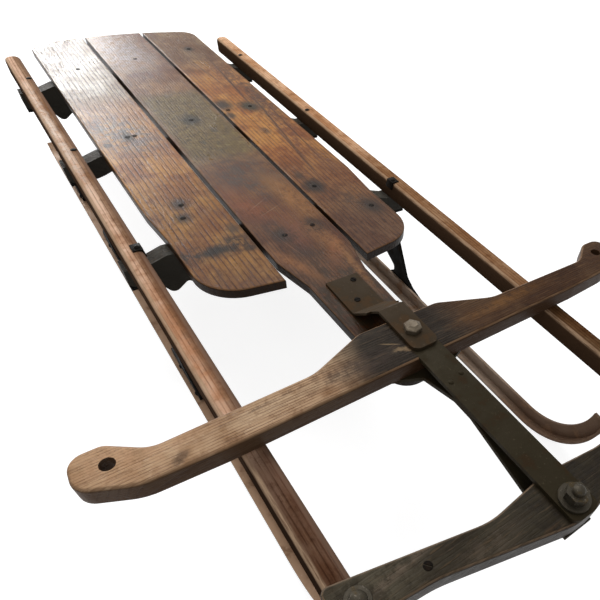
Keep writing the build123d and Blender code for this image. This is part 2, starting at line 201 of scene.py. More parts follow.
def worn_panel(tree, place, colour, panel):
    """What is left of an old painted panel: an olive ground, rubbed through and speckled with dirt."""
    x, y, long, wide, ground, dirt, rubbed = panel
    grit = {"Vector": place, "Scale": 1 / SPECK_SIZE, "Detail": 5.0, "Roughness": 0.8, "Distortion": 0.8}
    grit = add(tree, "TexNoise", grit).outputs["Fac"]
    edge = add(tree, "TexNoise", {"Vector": place, "Scale": 1 / FRAY_SIZE, "Detail": 5.0}).outputs["Color"]
    # The noise is about 0.5, so it pushes the panel by half of this reach, and the centre makes that good
    fray_x = 24 * MM
    fray_y = 16 * MM
    frayed = {0: edge, 1: (fray_x, fray_y, 0), 2: place}
    frayed = add(tree, "VectorMath", frayed, operation="MULTIPLY_ADD").outputs[0]
    whole = spot(tree, frayed, x + fray_x / 2, y + fray_y / 2, long, wide, soft=0.16, square=True)
    colour = overlay(tree, times(tree, whole, 0.8), colour, paint(ground))
    dirty = times(tree, whole, mask_between(tree, grit, 0.48, 0.60, 0.0, 0.75))
    colour = overlay(tree, dirty, colour, paint(dirt))
    bare = times(tree, whole, mask_between(tree, grit, 0.46, 0.36, 0.0, 0.65))
    return overlay(tree, bare, colour, paint(rubbed))


def lay_stains_and_highlights(tree, place, grime, colour, stains_and_highlights):
    """Lay a board's stain marks, and any painted highlight among them, over its colour. Large ones are
    ragged inside, and all have uneven edges.
    """
    smeared = pushed(tree, place, grime["Color"], STAIN_STRAY)
    nearly_straight = pushed(tree, place, grime["Color"], THIN_STRAY)
    ragged = mask_between(tree, grime["Fac"], 0.40, 0.57, 0.25, 1.0)
    for x, y, long, wide, turn, soft, hex_colour, strength in stains_and_highlights:
        thin = wide < THIN_MARK
        mask = spot(tree, nearly_straight if thin else smeared, x, y, long, wide, turn, soft)
        if max(long, wide) > LARGE_STAIN and not thin:
            mask = times(tree, mask, ragged)
        colour = overlay(tree, times(tree, mask, strength), colour, paint(hex_colour))
    return colour


def shade_and_edges(tree, normal, pores, colour, sides, arris, inner_shade):
    """Paint shade on the upright faces and on the inner one, and colour the edges as wear and as a painted
    highlight, by the way each face looks.
    """
    facing = add(tree, "SeparateXYZ", {0: normal}).outputs
    lying = add(tree, "Math", {0: facing["Z"]}, operation="ABSOLUTE").outputs[0]
    upright = mask_between(tree, lying, 0.75, 0.25)
    # Painted shade: the upright faces are darkened
    colour = overlay(tree, times(tree, upright, 0.9), colour, paint(sides))
    if inner_shade:
        toward, hex_colour, dark_from, edge_from, edge_to = inner_shade
        leaning = times(tree, facing["Y"], toward)
        # Painted shade on the face that looks inwards
        shade = mask_between(tree, leaning, dark_from, dark_from + 0.3, 0.0, 0.85)
        colour = overlay(tree, shade, colour, paint(hex_colour))
    if arris:
        # The rounded edges take the arris colour: wear, and on the rails and the front bar a painted
        # highlight
        rising = mask_between(tree, facing["Z"], 0.35, 0.65)
        falling = mask_between(tree, facing["Z"], 0.99, 0.9)
        edge_mark = mask_between(tree, pores, 0.35, 0.6, 0.2, 0.8)
        if inner_shade:
            edge_mark = times(tree, edge_mark, mask_between(tree, leaning, edge_from, edge_to))
        colour = overlay(tree, times(tree, times(tree, rising, falling), edge_mark), colour, paint(arris))
    return colour


def old_ash(
    name,
    pale,
    tone,
    ring_width,
    heart,
    ring="745238",
    lean=0.3,
    contrast=1.0,
    rough=0.34,
    gloss=0.08,
    sides="1C130C",
    arris=None,
    inner_shade=None,
    stains_and_highlights=(),
    shifts=(),
    place_name=None,
    across=False,
    panel=None,
):
    """Planed ash under worn varnish: thin dark pore lines, a soft shine that greys at low angles, and
    painted shade on its upright faces.
    """
    material, tree, shader = new_surface(name)
    coords = add(tree, "TexCoord")
    place = coords.outputs["Object"]
    if place_name:
        place = add(tree, "Attribute", attribute_name=place_name).outputs["Vector"]
    board = place
    if across:
        # The board lies across the sled, so its grain does too
        quarter = {"Vector": place, "Rotation": (0, 0, math.pi / 2)}
        board = add(tree, "Mapping", quarter, vector_type="TEXTURE").outputs[0]
    fibre = add(tree, "Mapping", {"Vector": board, "Scale": (PORE_WIDTH / PORE_LENGTH, 1, 1)}).outputs[0]
    line, pore, pores = ash_grain(tree, board, fibre, ring_width, heart, lean)
    wear = {"Vector": place, "Scale": 1 / WEAR_SIZE, "Detail": 6.0, "Roughness": 0.68}
    wear = add(tree, "TexNoise", wear).outputs["Fac"]
    colour = paint(pale)
    for axis, start, end, hex_colour in shifts:
        # The colour changes along one axis, with an uneven edge; on the right rail the change across its
        # width is painted shade on the inner part of its top
        along = add(tree, "SeparateXYZ", {0: place}).outputs[axis]
        uneven = {0: wear, 1: 0.5 * (end - start), 2: along}
        uneven = add(tree, "Math", uneven, operation="MULTIPLY_ADD").outputs[0]
        colour = overlay(tree, mask_between(tree, uneven, start, end), colour, paint(hex_colour))
    streaks = {"Vector": fibre, "Scale": 0.5 / PLANE_MARK, "Detail": 3.0}
    streaks = add(tree, "TexNoise", streaks).outputs["Fac"]
    grime = {"Vector": place, "Scale": 1 / GRIME_SIZE, "Detail": 7.0, "Roughness": 0.72}
    grime = add(tree, "TexNoise", grime).outputs
    for mask, hex_colour, blend in (
        (mask_between(tree, wear, 0.40, 0.60), tone, "MULTIPLY"),
        (mask_between(tree, streaks, 0.40, 0.62, 0.0, 0.4), "C4A890", "MULTIPLY"),
        (mask_between(tree, grime["Fac"], 0.5, 0.68, 0.0, 0.5), "A08A78", "MULTIPLY"),
        (mask_between(tree, pores, 0.44, 0.32, 0.0, 0.4), "5A4632", "SCREEN"),
    ):
        colour = overlay(tree, mask, colour, paint(hex_colour), blend)
    if panel:
        colour = worn_panel(tree, place, colour, panel)
    grain = {0: times(tree, line, 0.95 * contrast), 1: times(tree, pore, 0.4 * contrast)}
    grain = add(tree, "Math", grain, operation="MAXIMUM").outputs[0]
    colour = overlay(tree, grain, colour, paint(ring), "MULTIPLY")
    colour = lay_stains_and_highlights(tree, place, grime, colour, stains_and_highlights)
    # Painted shade on the upright faces and on any inner face, and the edges coloured as wear with a
    # painted highlight where asked
    colour = shade_and_edges(tree, coords.outputs["Normal"], pores, colour, sides, arris, inner_shade)
    dulled = mask_between(tree, wear, 0.3, 0.7, rough - 0.08, rough + 0.06)
    ridge = add(tree, "Math", {0: line, 1: pore}, operation="ADD").outputs[0]
    bump = add(tree, "Bump", {"Height": ridge, "Strength": 0.4, "Distance": PORE_DEPTH}, invert=True)
    wire(tree, shader, {"Base Color": colour, "Roughness": dulled, "Specular IOR Level": gloss})
    wire(tree, shader, {"Normal": bump.outputs[0]})
    return material


# Iron: forged and blacked, with the skin worn and rusted away in places

PIT_DEPTH = 0.5 * MM


def blacked_iron(
    name,
    skin,
    rust,
    bare,
    rust_share=0.5,
    rough=0.6,
    shine=0.3,
    grit=3 * MM,
    gloss=0.1,
    place_name=None,
    shifts=(),
):
    """Forged iron, once blacked: a dull dark skin with patches of brown rust and small bare spots."""
    material, tree, shader = new_surface(name)
    place = add(tree, "TexCoord").outputs["Object"]
    if place_name:
        place = add(tree, "Attribute", attribute_name=place_name).outputs["Vector"]
    patches = {"Vector": place, "Scale": 1 / (8 * grit), "Detail": 6.0, "Roughness": 0.65}
    patches = add(tree, "TexNoise", patches).outputs["Fac"]
    pits = {"Vector": place, "Scale": 3 / (4 * grit), "Detail": 4.0, "Roughness": 0.7}
    pits = add(tree, "TexNoise", pits).outputs["Fac"]
    colour = paint(skin)
    for axis, start, end, hex_colour in shifts:
        along = add(tree, "SeparateXYZ", {0: place}).outputs[axis]
        colour = overlay(tree, mask_between(tree, along, start, end), colour, paint(hex_colour))
    rusted = mask_between(tree, patches, 0.62 - 0.25 * rust_share, 0.75 - 0.25 * rust_share)
    colour = overlay(tree, rusted, colour, paint(rust))
    colour = overlay(tree, mask_between(tree, pits, 0.60, 0.72, 0.0, 0.5), colour, paint(bare))
    dulled = mask_between(tree, patches, 0.3, 0.7, rough - 0.1, rough + 0.2)
    bump = add(tree, "Bump", {"Height": pits, "Strength": 0.45, "Distance": PIT_DEPTH})
    wire(tree, shader, {"Base Color": colour, "Metallic": shine, "Roughness": dulled})
    wire(tree, shader, {"Specular IOR Level": gloss, "Normal": bump.outputs[0]})
    return material


# Stains and marks on the boards: x, y, half length, half width, turn, softness, colour, strength
right_slat_stains = [
    (-0.245, -0.088, 0.050, 0.045, 0, 0.9, "7A5438", 0.45),
    (-0.195, -0.100, 0.070, 0.040, 15, 0.8, "56524F", 0.85),
    (-0.205, -0.110, 0.030, 0.016, 25, 0.8, "4A4848", 0.6),
    (-0.183, -0.098, 0.014, 0.007, 0, 0.6, "1E1814", 0.9),
    (-0.168, -0.128, 0.007, 0.005, 0, 0.5, "2A2420", 0.9),
    (0.012, -0.098, 0.013, 0.010, 0, 0.7, "20160E", 0.9),
    (0.042, -0.104, 0.011, 0.009, 0, 0.7, "20160E", 0.9),
    (0.121, -0.117, 0.014, 0.022, 0, 0.7, "18110B", 0.95),
    (0.118, -0.074, 0.016, 0.022, 8, 0.7, "18110B", 0.95),
    (0.120, -0.095, 0.008, 0.019, 0, 0.6, "18110B", 0.9),
    (0.132, -0.060, 0.006, 0.007, 0, 0.5, "1A120C", 0.8),
    (0.088, -0.062, 0.010, 0.007, 0, 0.6, "3A2C20", 0.85),
    (0.150, -0.110, 0.030, 0.002, 3, 0.8, "4A3222", 0.7),
    (0.195, -0.095, 0.030, 0.050, 0, 0.9, "5A4030", 0.5),
]
centre_slat_stains = [
    (-0.500, -0.012, 0.085, 0.040, 0, 0.9, "A8A4A4", 0.6),
    (-0.203, -0.001, 0.018, 0.013, 0, 0.8, "1A160E", 0.95),
    (-0.160, 0.016, 0.006, 0.005, 0, 0.6, "38301F", 0.8),
    (-0.128, -0.012, 0.005, 0.004, 0, 0.6, "38301F", 0.8),
    (-0.020, 0.002, 0.060, 0.038, 10, 0.7, "453931", 0.85),
    (0.060, -0.026, 0.050, 0.018, 10, 0.8, "8A4E30", 0.5),
    (0.050, 0.030, 0.055, 0.014, 5, 0.8, "9A6A38", 0.6),
    (0.123, 0.024, 0.015, 0.011, 0, 0.7, "1A120C", 0.95),
    (0.127, -0.015, 0.016, 0.012, 0, 0.7, "1A120C", 0.95),
    (0.112, -0.018, 0.030, 0.014, 25, 0.9, "33271F", 0.8),
    (0.166, -0.010, 0.014, 0.010, 30, 0.8, "2A1E18", 0.8),
    (0.185, 0.020, 0.030, 0.008, -30, 0.8, "9A5C36", 0.5),
    (0.262, 0.000, 0.070, 0.038, 0, 0.8, "30261A", 0.9),
    (0.282, 0.000, 0.045, 0.040, 0, 0.9, "30261A", 0.9),
    (0.185, -0.030, 0.040, 0.006, 20, 0.8, "8E5C34", 0.6),
    (0.210, 0.028, 0.050, 0.004, -4, 0.8, "96683E", 0.6),
    (0.052, -0.014, 0.015, 0.0005, -58, 0.8, "A88C70", 0.3),
    (0.071, -0.006, 0.013, 0.0005, -66, 0.8, "A88C70", 0.3),
    (0.036, 0.024, 0.024, 0.0004, -14, 0.8, "9A7E62", 0.3),
    (0.092, 0.031, 0.020, 0.0004, 8, 0.8, "9A7E62", 0.3),
    (0.150, -0.020, 0.022, 0.0004, 12, 0.8, "9A6A50", 0.35),
    (0.150, 0.024, 0.034, 0.011, 12, 0.8, "8C5E36", 0.6),
    (0.120, 0.002, 0.040, 0.012, -12, 0.9, "7A4A34", 0.5),
]
left_slat_stains = [
    (-0.300, 0.122, 0.180, 0.014, 2, 0.9, "4A2A18", 0.9),
    (-0.330, 0.110, 0.110, 0.0017, -4, 0.8, "2E160C", 0.95),
    (-0.150, 0.108, 0.120, 0.0016, -6, 0.8, "2E180C", 0.95),
    (-0.120, 0.122, 0.110, 0.0012, -3, 0.8, "2E180C", 0.9),
    (-0.060, 0.096, 0.090, 0.0012, -5, 0.6, "3E2414", 0.85),
    (-0.380, 0.088, 0.090, 0.0012, 5, 0.6, "4A2C18", 0.8),
    (-0.330, 0.096, 0.060, 0.010, -14, 0.8, "6A3E26", 0.6),
    (-0.484, 0.101, 0.012, 0.009, 0, 0.5, "241A14", 0.9),
    (-0.218, 0.099, 0.019, 0.015, 10, 0.6, "20200F", 0.95),
    (-0.236, 0.062, 0.019, 0.014, 0, 0.7, "261C12", 0.95),
    (-0.196, 0.058, 0.012, 0.006, 0, 0.7, "30261C", 0.9),
    (-0.230, 0.125, 0.060, 0.016, -8, 0.8, "4A3222", 0.8),
    (-0.150, 0.113, 0.050, 0.006, -12, 0.8, "5A3420", 0.8),
    (-0.090, 0.112, 0.045, 0.005, -14, 0.8, "5A3420", 0.8),
    (-0.130, 0.084, 0.010, 0.006, 0, 0.6, "4A301E", 0.8),
    (-0.020, 0.118, 0.030, 0.012, 0, 0.8, "5E3A26", 0.7),
    (0.043, 0.071, 0.019, 0.014, 0, 0.6, "1E140C", 0.95),
    (0.010, 0.066, 0.010, 0.006, 0, 0.7, "3A281A", 0.8),
    (0.117, 0.114, 0.019, 0.013, 0, 0.7, "1E140C", 0.9),
    (0.090, 0.095, 0.030, 0.020, 0, 0.9, "3E2C1E", 0.6),
]
bar_stains = [
    (0.3760, -0.024, 0.0055, 0.0020, 78, 0.7, "A08664", 0.5),
    (0.3800, -0.018, 0.0030, 0.0020, 40, 0.6, "9A7F5F", 0.5),
    (0.3660, -0.028, 0.0080, 0.0007, 60, 0.6, "A08664", 0.5),
    (0.376, -0.070, 0.010, 0.034, 0, 0.9, "3E322C", 0.7),
    (0.372, -0.150, 0.0012, 0.050, 4, 0.8, "5A4636", 0.45),
    (0.362, -0.205, 0.0010, 0.040, 8, 0.8, "5A4636", 0.45),
    (0.345, -0.235, 0.020, 0.022, 0, 0.9, "8A6446", 0.45),
    (0.350, -0.190, 0.012, 0.030, 0, 0.9, "9C7C68", 0.4),
    (0.384, -0.225, 0.004, 0.007, 20, 0.6, "3A2A20", 0.8),
    (0.374, 0.110, 0.006, 0.050, 2, 0.9, "7A5228", 0.5),
    (0.352, -0.252, 0.030, 0.045, 0, 0.9, "D0A682", 0.6),
]
front_stains = [
    (0.545, -0.165, 0.020, 0.034, 0, 0.9, "5E5646", 0.6),
    (0.568, -0.085, 0.010, 0.035, 8, 0.9, "5A4E40", 0.5),
    (0.572, 0.010, 0.040, 0.050, 0, 0.9, "1E1A16", 0.6),
    (0.540, -0.125, 0.003, 0.060, 8, 0.8, "6A5A4C", 0.5),
    (0.584, -0.080, 0.003, 0.040, 4, 0.8, "5E4632", 0.6),
    (0.592, -0.060, 0.002, 0.014, 30, 0.6, "8A8070", 0.5),
]
right_rail_stains_and_highlight = [
    # Painted highlight: the first row is a white line along the rear of the rail's top, where the light
    # glances off it
    (-0.230, -0.1790, 0.150, 0.0045, 0, 0.9, "FFF6EA", 0.5),
    (0.270, -0.1770, 0.080, 0.0050, 0, 0.9, "CC9068", 0.45),
    (0.250, -0.1690, 0.220, 0.0030, 0, 0.9, "705040", 0.6),
    (0.484, -0.1675, 0.038, 0.0008, -2, 0.5, "140E0A", 0.95),
    (0.330, -0.1660, 0.060, 0.0008, 0, 0.8, "4A3428", 0.7),
    (0.120, -0.1700, 0.090, 0.0007, 0, 0.8, "6A4C3A", 0.6),
    (-0.100, -0.1680, 0.080, 0.0007, 0, 0.8, "6A4C3A", 0.6),
]

# The boards. Their hearts lie far out to one side, so that the lines run almost parallel along each one.

# Varnish worn thin over planed wood: a honey ground with fine dark lines, gone grey and dull at the rear
ash_right = old_ash(
    "varnished_ash_right_slat",
    pale="B07C3C",
    tone="CDB496",
    ring_width=6.4 * MM,
    heart=(0, -0.62, 0.10),
    stains_and_highlights=right_slat_stains,
    arris="7A5C42",
    shifts=[("X", -0.26, -0.38, "908676"), ("X", -0.10, 0.10, "94682E"), ("X", 0.13, 0.24, "865E32")],
)
# The varnish has darkened most here: a browner, closer grain, with the olive left by a painted panel
ash_centre = old_ash(
    "varnished_ash_centre_slat",
    pale="86603F",
    tone="BEA48C",
    ring_width=3.6 * MM,
    heart=(0, -0.40, -0.05),
    contrast=0.8,
    lean=0.5,
    stains_and_highlights=centre_slat_stains,
    arris="6E5540",
    shifts=[("X", -0.42, -0.30, "84603A"), ("X", -0.06, 0.03, "7A5028"), ("X", 0.06, 0.16, "664226")],
    panel=(-0.190, 0.001, 0.112, 0.044, "605026", "33260F", "8A7A4A"),
)
# Planed and varnished like the right slat, but with long dark smears where dirt has followed the grain
ash_left = old_ash(
    "varnished_ash_left_slat",
    pale="B07A38",
    tone="CCB096",
    ring_width=5.6 * MM,
    heart=(0, 0.60, 0.06),
    contrast=0.85,
    stains_and_highlights=left_slat_stains,
    arris="7A5C42",
    shifts=[("X", -0.34, -0.50, "7E6446"), ("X", -0.06, 0.04, "84582F"), ("X", 0.06, 0.17, "64442A")],
)
# Rubbed back to bare wood: a pale dry face with hardly any shine; painted shade darkens its sides, its
# inner face and the inner part of its top, its outer top edge is painted pale as wear and highlight, and a
# white highlight is painted along its rear
rail_ash_right = old_ash(
    "rubbed_ash_right_rail",
    pale="E0BCA2",
    tone="DCCCBE",
    ring_width=4 * MM,
    heart=(0, -0.50, 0.10),
    contrast=0.6,
    stains_and_highlights=right_rail_stains_and_highlight,
    sides="3A2C22",
    arris="C4A688",
    inner_shade=(1, "7A6050", 0.1, 0.0, -0.3),
    gloss=0.0,
    place_name="rest_place",
    # The first shift is painted shade on the inner part of the top
    shifts=[("Y", -0.176, -0.170, "9A7C64"), ("X", 0.385, 0.42, "745A4A")],
)
# The same bare wood, browner towards the front; painted shade darkens its sides and inner face, and its
# inner top edge is painted pale as wear and highlight
rail_ash_left = old_ash(
    "rubbed_ash_left_rail",
    pale="D6AE8C",
    tone="DCCCBC",
    ring_width=4 * MM,
    heart=(0, 0.50, 0.10),
    contrast=0.5,
    sides="2E2118",
    arris="B4967A",
    inner_shade=(-1, "4E3A2B", 0.6, 0.15, 0.4),
    gloss=0.0,
    place_name="rest_place",
    shifts=[("X", -0.02, 0.10, "A07E60"), ("X", 0.36, 0.42, "745A42")],
)
# Worn smooth by handling: its arms stay pale and dull and its middle is darker; painted shade darkens its
# upright faces
bar_ash = old_ash(
    "handled_ash_steering_bar",
    pale="C0A282",
    tone="D0C0B0",
    ring_width=2.6 * MM,
    heart=(0.0, -0.80, 0.12),
    ring="7A5F4C",
    contrast=0.8,
    gloss=0.06,
    rough=0.45,
    sides="463223",
    arris="86694F",
    stains_and_highlights=bar_stains,
    across=True,
    shifts=[("Y", -0.092, -0.038, "2C241A"), ("Y", 0.035, 0.080, "4E3620")],
)
# Darkened with smoke and weather: almost black, so its grain is hidden; painted shade darkens its upright
# faces, and its edges are painted paler as wear and as a highlight, so only they look like wood
front_ash = old_ash(
    "smoked_ash_front_bar",
    pale="332D21",
    tone="C0B4A4",
    ring_width=4 * MM,
    heart=(0.0, -0.90, 0.12),
    contrast=0.15,
    rough=0.45,
    gloss=0.08,
    sides="2A231C",
    arris="75614E",
    stains_and_highlights=front_stains,
    across=True,
)
# Sawn and left bare under the deck: a flat grey with the grain half hidden by soot, and painted shade on
# its upright faces
bench_ash = old_ash(
    "sooty_ash_bench",
    pale="4A4842",
    tone="C8C0B8",
    ring_width=6 * MM,
    heart=(0, -0.8, 0.05),
    contrast=0.5,
    rough=0.6,
    gloss=0.08,
    sides="38352F",
    across=True,
)

# The irons, each with the colours of its skin, its rust and its bare spots

# Forged and blacked, and never rubbed since: near black and matt, so that the knees show as outlines
knee_iron = blacked_iron(
    "blacked_iron_knees", "161514", "2A2019", "3A352F", rust_share=0.3, rough=0.7, shine=0.2, gloss=0.05
)
# Flat bar worn by sliding on the wood: a dark brown that keeps a little of its gleam
strap_iron = blacked_iron(
    "worn_iron_straps", "2C261A", "302518", "4A4232", rust_share=0.4, rough=0.5, shine=0.2, gloss=0.04
)
# Sheet gone brown all over: dull, and close in colour to the dark wood around it
plate_iron = blacked_iron(
    "browned_iron_pivot_plate", "392F23", "443424", "5E5040", rough=0.55, shine=0.1, gloss=0.03
)
# A head beaten over with a hammer: its facets catch the light, and its high spots are bright
worn_iron = blacked_iron(
    "hammered_iron_pivot_head",
    "5E5446",
    "4A3E30",
    "B8AC9C",
    rust_share=0.3,
    rough=0.4,
    shine=0.5,
    grit=1.5 * MM,
    gloss=0.2,
)
# Rolled bar under a thin dry rust: tan and powdery, with hardly a gleam
runner_iron = blacked_iron(
    "rusty_iron_runners",
    "94806F",
    "8A6C54",
    "BCA892",
    rust_share=0.4,
    rough=0.55,
    shine=0.15,
    place_name="rest_place",
    shifts=[("X", 0.34, 0.42, "745C4A"), ("Y", 0.1, -0.1, "A88A70")],
)
# Turned and threaded, then left to rust: dark hollows and small bright edges
bolt_iron = blacked_iron(
    "rusty_iron_bolts",
    "3A352C",
    "40341F",
    "9A9084",
    rust_share=0.3,
    rough=0.4,
    shine=0.5,
    grit=1.5 * MM,
    gloss=0.15,
)
# Small heads blacked and sunk in dirt: they read as dark dots with no shine
screw_iron = blacked_iron(
    "dark_iron_screws",
    "14110E",
    "241C16",
    "3A342C",
    rust_share=0.4,
    rough=0.65,
    shine=0.2,
    grit=1 * MM,
    gloss=0.05,
)

bolt_names = ["pivot_nut", "pivot_bolt", "centre_bolt", "centre_washer", "centre_nut"]
dressed = {
    ash_right: ["slat_right"],
    ash_centre: ["slat_centre"],
    ash_left: ["slat_left"],
    bar_ash: ["steering_bar"],
    front_ash: ["front_bar"],
    bench_ash: ["bench_" + name for name in bench_names],
    knee_iron: [f"knee_{name}_{side}" for name in bench_names for side in ("left", "right")],
    strap_iron: ["tongue_upper", "tongue_lower", "pivot_spacer"],
    plate_iron: ["pivot_plate"],
    bolt_iron: [*bolt_names, "end_bolt_left", "end_bolt_right"],
}
for material, names in dressed.items():
    for name in names:
        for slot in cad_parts[name].material_slots:
            slot.link = "OBJECT"
            slot.material = material


# Mesh helpers

SMOOTH_UP_TO = math.radians(35)
CORNER_FROM = math.radians(40)


def finish_piece(name, bm, material, body=None, smooth=True):
    """Turn a bmesh into a named object with its material, riding a body if one is given."""
    bmesh.ops.recalc_face_normals(bm, faces=bm.faces[:])
    mesh = bpy.data.meshes.new(name)
    bm.to_mesh(mesh)
    bm.free()
    mesh.materials.append(material)
    if smooth:
        mesh.shade_smooth()
        mesh.set_sharp_from_angle(angle=SMOOTH_UP_TO)
    piece = bpy.data.objects.new(name, mesh)
    bpy.context.scene.collection.objects.link(piece)
    if body:
        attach(piece, body)
    return piece


def keep_rest_place(piece):
    """Store where each point is at rest, so that the grain stays put while the piece bends."""
    mesh = piece.data
    rest = mesh.attributes.new("rest_place", "FLOAT_VECTOR", "POINT")
    rest.data.foreach_set("vector", [c for v in mesh.vertices for c in v.co])


def cut(bm, point, across, clear=False):
    """Cut through a mesh at a point, and clear what lies behind the cut if asked."""
    everything = bm.verts[:] + bm.edges[:] + bm.faces[:]
    bmesh.ops.bisect_plane(bm, geom=everything, plane_co=point, plane_no=across, clear_inner=clear)


def soften(bm, edges, reach, steps=2):
    """Round a set of edges."""
    bmesh.ops.bevel(
        bm,
        geom=edges,
        offset=reach,
        affect="EDGES",
        segments=steps,
        profile=0.5,
        material=-1,
    )


def corners(bm):
    """The edges where two faces meet at a corner."""
    return [e for e in bm.edges if len(e.link_faces) == 2 and e.calc_face_angle() > CORNER_FROM]


def lies_at(edge, axis, level):
    """Whether both ends of an edge lie within a millimetre of a level."""
    return all(abs(v.co[axis] - level) < MM for v in edge.verts)


def climbs(edge, least):
    """Whether an edge climbs by more than a height."""
    return abs(edge.verts[0].co.z - edge.verts[1].co.z) > least


def draw_out(bm, faces, move):
    """Extrude faces along a move, and return the faces that moved."""
    drawn = bmesh.ops.extrude_face_region(bm, geom=faces)["geom"]
    bmesh.ops.translate(bm, verts=[g for g in drawn if isinstance(g, bmesh.types.BMVert)], vec=move)
    return [g for g in drawn if isinstance(g, bmesh.types.BMFace)]


def drop_faces(bm, faces):
    """Take away the faces that an extrusion has left behind."""
    bmesh.ops.delete(bm, geom=[f for f in faces if f.is_valid], context="FACES_ONLY")


def sweep(bm, section, steps):
    """Draw a section through straight runs and turns: a move, a centre, an angle and a count of cuts."""
    last = section
    for move, centre, angle, count in steps:
        drawn = bmesh.ops.spin(
            bm,
            geom=last,
            cent=centre,
            axis=(0, 1, 0),
            dvec=Vector(move) / count,
            angle=math.radians(angle),
            steps=count,
        )
        last = drawn["geom_last"]


# Rails: bent sideways by the front bar, so each is cut into short lengths that can bend

RAIL_LENGTHS = 48


def rail_board(side):
    """One rail with a rounded rear end and soft upper edges, cut into short lengths that can bend."""
    low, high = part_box("rail_" + side)
    low, high = Vector(low), Vector(high)
    size = high - low
    bm = bmesh.new()
    block = Matrix.Translation((low + high) / 2) @ Matrix.Diagonal((*size, 1))
    bmesh.ops.create_cube(bm, size=1, matrix=block)
    nose = [e for e in bm.edges if lies_at(e, 0, low.x) and climbs(e, MM)]
    soften(bm, nose, 9 * MM, 6)
    top = [e for e in bm.edges if lies_at(e, 2, high.z) and not lies_at(e, 0, high.x)]
    soften(bm, top, 6 * MM, 4)
    foot = [e for e in bm.edges if lies_at(e, 2, low.z)]
    soften(bm, foot, 1.2 * MM)
    for index in range(1, RAIL_LENGTHS):
        cut(bm, (low.x + size.x * index / RAIL_LENGTHS, 0, 0), (1, 0, 0))
    return bm


for side, material in (("left", rail_ash_left), ("right", rail_ash_right)):
    board = finish_piece(f"rail_board_{side}", rail_board(side), material)
    keep_rest_place(board)
    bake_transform(board)
    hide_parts("rail_" + side)


# Runners: a flange on the ground and an upright web, swept from the tail to the tab under the rail

flange_thick = 3.5 * MM
web_thick = 4 * MM
web_height = 17 * MM
web_lap = 0.2 * MM  # the web is let into the flange by this much, so that the two bars are one to the eye
runner_edge = 0.7 * MM
tail_r = 90 * MM
tail_turn = 24
bend_r = 100 * MM
bend_turn = 85
tip_r = 12 * MM
tab_behind = 10.4 * MM  # the tab under the rail starts this far behind the end bolt

# The bend, the straight rise and the turn at the tip, which together lift the flange to the rail
bend_angle = math.radians(bend_turn)
bend_reach = bend_r * math.sin(bend_angle)
bend_lift = bend_r * (1 - math.cos(bend_angle))
tip_reach = tip_r * math.sin(bend_angle)
tip_lift = tip_r * (1 - math.cos(bend_angle))
rise_lift = rail_low - flange_thick - tip_lift - bend_lift
rise_reach = rise_lift / math.tan(bend_angle)
bend_x = end_x - tab_behind - tip_reach - rise_reach - bend_reach


def runner_strip(side):
    """One runner: its two bars follow the same turns, the web inside the flange."""
    low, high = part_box("runner_" + side)
    middle_y = (low[1] + high[1]) / 2
    half = (high[1] - low[1]) / 2
    tail_x = low[0] + tail_r * math.sin(math.radians(tail_turn))
    tail_centre = (tail_x, 0, tail_r)
    rise_start = Vector((bend_x + bend_reach, 0, bend_lift))
    rise = Vector((rise_reach, 0, rise_lift))
    tip_centre = rise_start + rise + Vector((tip_reach, 0, -tip_r * math.cos(bend_angle)))
    still = (0, 0, 0)
    ground_steps = [
        (still, tail_centre, -tail_turn, 6),
        ((bend_x - tail_x, 0, 0), still, 0, 60),
        (still, (bend_x, 0, bend_r), -bend_turn, 20),
    ]
    rise_steps = [
        (rise, still, 0, 3),
        (still, tip_centre, bend_turn, 6),
        ((high[0] - tip_centre.x, 0, 0), still, 0, 2),
    ]
    bm = bmesh.new()
    for half_width, bottom, top, steps in (
        (half, 0, flange_thick, ground_steps + rise_steps),
        (web_thick / 2, flange_thick - web_lap, flange_thick + web_height, ground_steps),
    ):
        centre = Matrix.Translation((tail_x, middle_y, (top + bottom) / 2))
        size = Matrix.Diagonal((1, half_width, (top - bottom) / 2, 1))
        section = centre @ size @ Matrix.Rotation(math.pi / 2, 4, "Y")
        made = bmesh.ops.create_grid(bm, x_segments=1, y_segments=1, size=1, matrix=section)
        back = Matrix.Rotation(math.radians(tail_turn), 3, "Y")
        bmesh.ops.rotate(bm, verts=made["verts"], cent=tail_centre, matrix=back)
        faces = {face for vert in made["verts"] for face in vert.link_faces}
        edges = {edge for face in faces for edge in face.edges}
        sweep(bm, [*made["verts"], *edges, *faces], steps)
    soften(bm, corners(bm), runner_edge)
    return bm


for side in ("left", "right"):
    strip = finish_piece(f"runner_strip_{side}", runner_strip(side), runner_iron)
    keep_rest_place(strip)
    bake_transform(strip)
    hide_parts("runner_" + side)


# Small parts: screws, nails, rivets, clips and bolts


def set_in(bm, part, place):
    """Put a small finished part into a larger mesh at its place."""
    bmesh.ops.transform(part, matrix=place, verts=part.verts[:])
    mesh = bpy.data.meshes.new("part")
    part.to_mesh(mesh)
    part.free()
    bm.from_mesh(mesh)
    bpy.data.meshes.remove(mesh)


def at(x, y, z, turn=0.0, tilt=0.0):
    """A place on the sled, with a turn about the upright and a tilt about the length of the sled."""
    turned = Matrix.Rotation(math.radians(tilt), 4, "X") @ Matrix.Rotation(math.radians(turn), 4, "Z")
    return Matrix.Translation((x, y, z)) @ turned


def disc(radius, height, sides=20, soft=0.2):
    """A round or many-sided plate with a soft upper edge."""
    part = bmesh.new()
    bmesh.ops.create_circle(part, cap_ends=True, segments=sides, radius=radius)
    crown = draw_out(part, part.faces[:], (0, 0, height))[0]
    soften(part, crown.edges[:], height * soft, 3)
    return part


